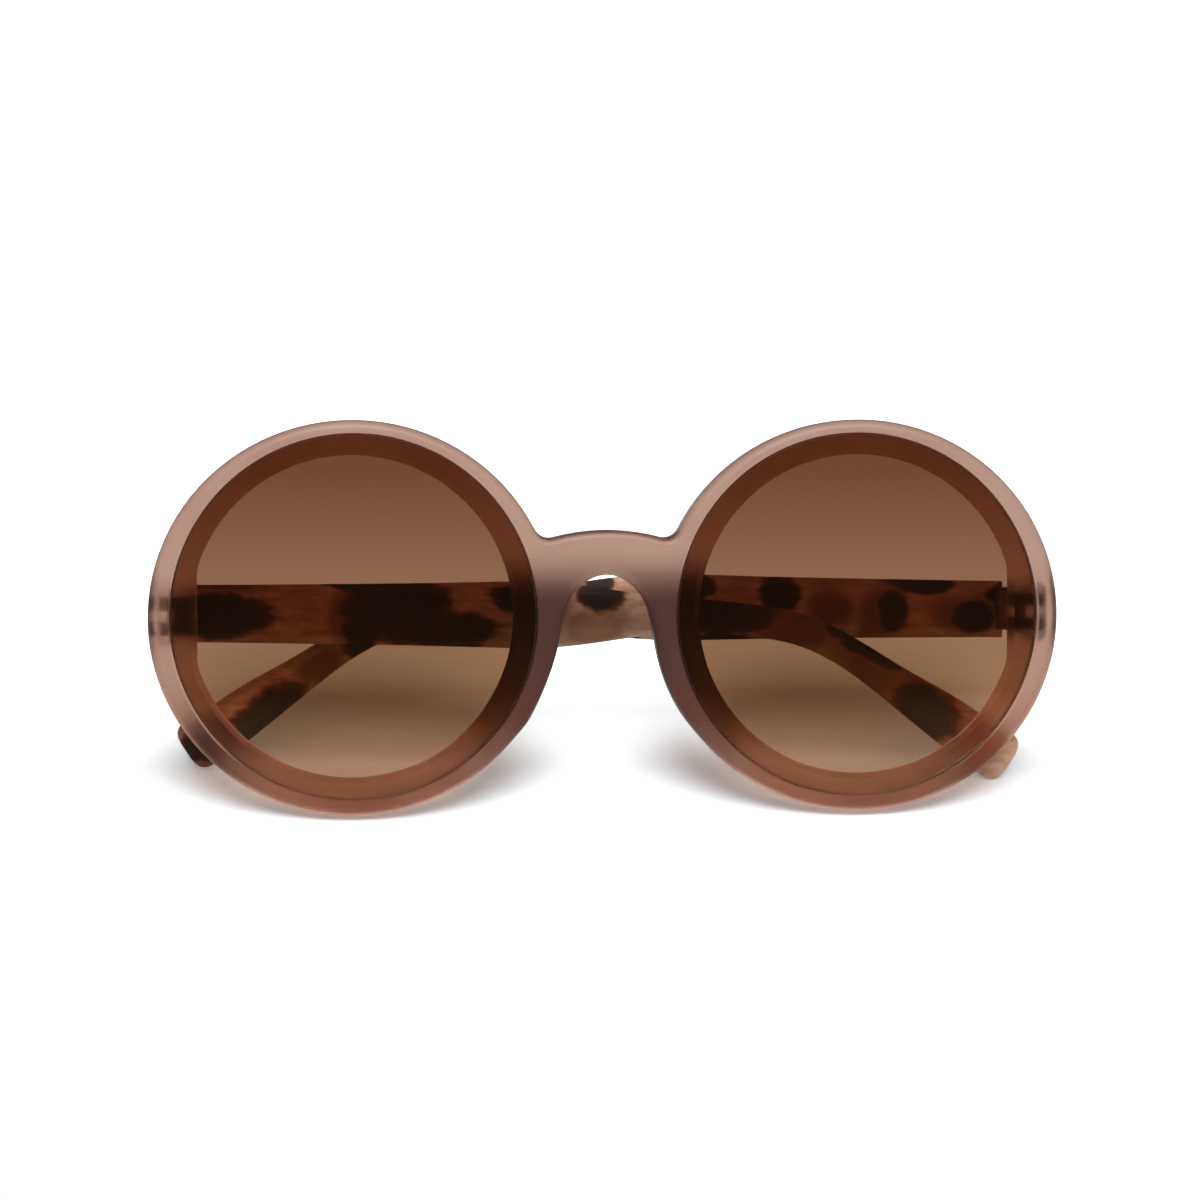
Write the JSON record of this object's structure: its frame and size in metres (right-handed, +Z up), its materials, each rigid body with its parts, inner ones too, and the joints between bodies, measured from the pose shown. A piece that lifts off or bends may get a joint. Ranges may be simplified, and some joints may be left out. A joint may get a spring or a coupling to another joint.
{
  "type": "sunglasses",
  "caption": "Oversized round sunglasses with a frosted moulded front, flat gradient lenses and hinged tortoise temples, standing folded.",
  "frame": {"origin": "under the middle of the folded sunglasses, on the surface that they stand on", "axes": "+X to the viewer's right along the front, +Y from the front to the folded temples behind, +Z up"},
  "size_m": [0.145, 0.0324, 0.0598],
  "materials": {
    "frosted_rose": "frosted, slightly translucent moulded plastic",
    "brown_lens": "polished gradient tint, darker at the top",
    "tortoise": "satin blonde tortoise sheet, dark brown blotches with amber edges",
    "hinge_steel": "satin"
  },
  "bodies": {
    "front": {"frame_front": "frosted_rose", "lens_left": "brown_lens", "lens_right": "brown_lens", "front_hinge_left": "hinge_steel", "front_hinge_right": "hinge_steel", "hinge_screw_left": "hinge_steel", "hinge_screw_right": "hinge_steel"},
    "left_temple": {"temple_left": "tortoise", "temple_hinge_left": "hinge_steel", "core_wire_left": "hinge_steel"},
    "right_temple": {"temple_right": "tortoise", "temple_hinge_right": "hinge_steel", "core_wire_right": "hinge_steel"}
  },
  "joints": [
    {"name": "left_temple_fold", "type": "hinge", "parent": "front", "child": "left_temple", "pos_m": [-0.0665, 0.00749, 0.02626], "axis": [0, 0.342, 0.9397], "range_deg": [0, 90]},
    {"name": "right_temple_fold", "type": "hinge", "parent": "front", "child": "right_temple", "pos_m": [0.0665, 0.00749, 0.02626], "axis": [0, -0.342, -0.9397], "range_deg": [0, 87.05]}
  ]
}
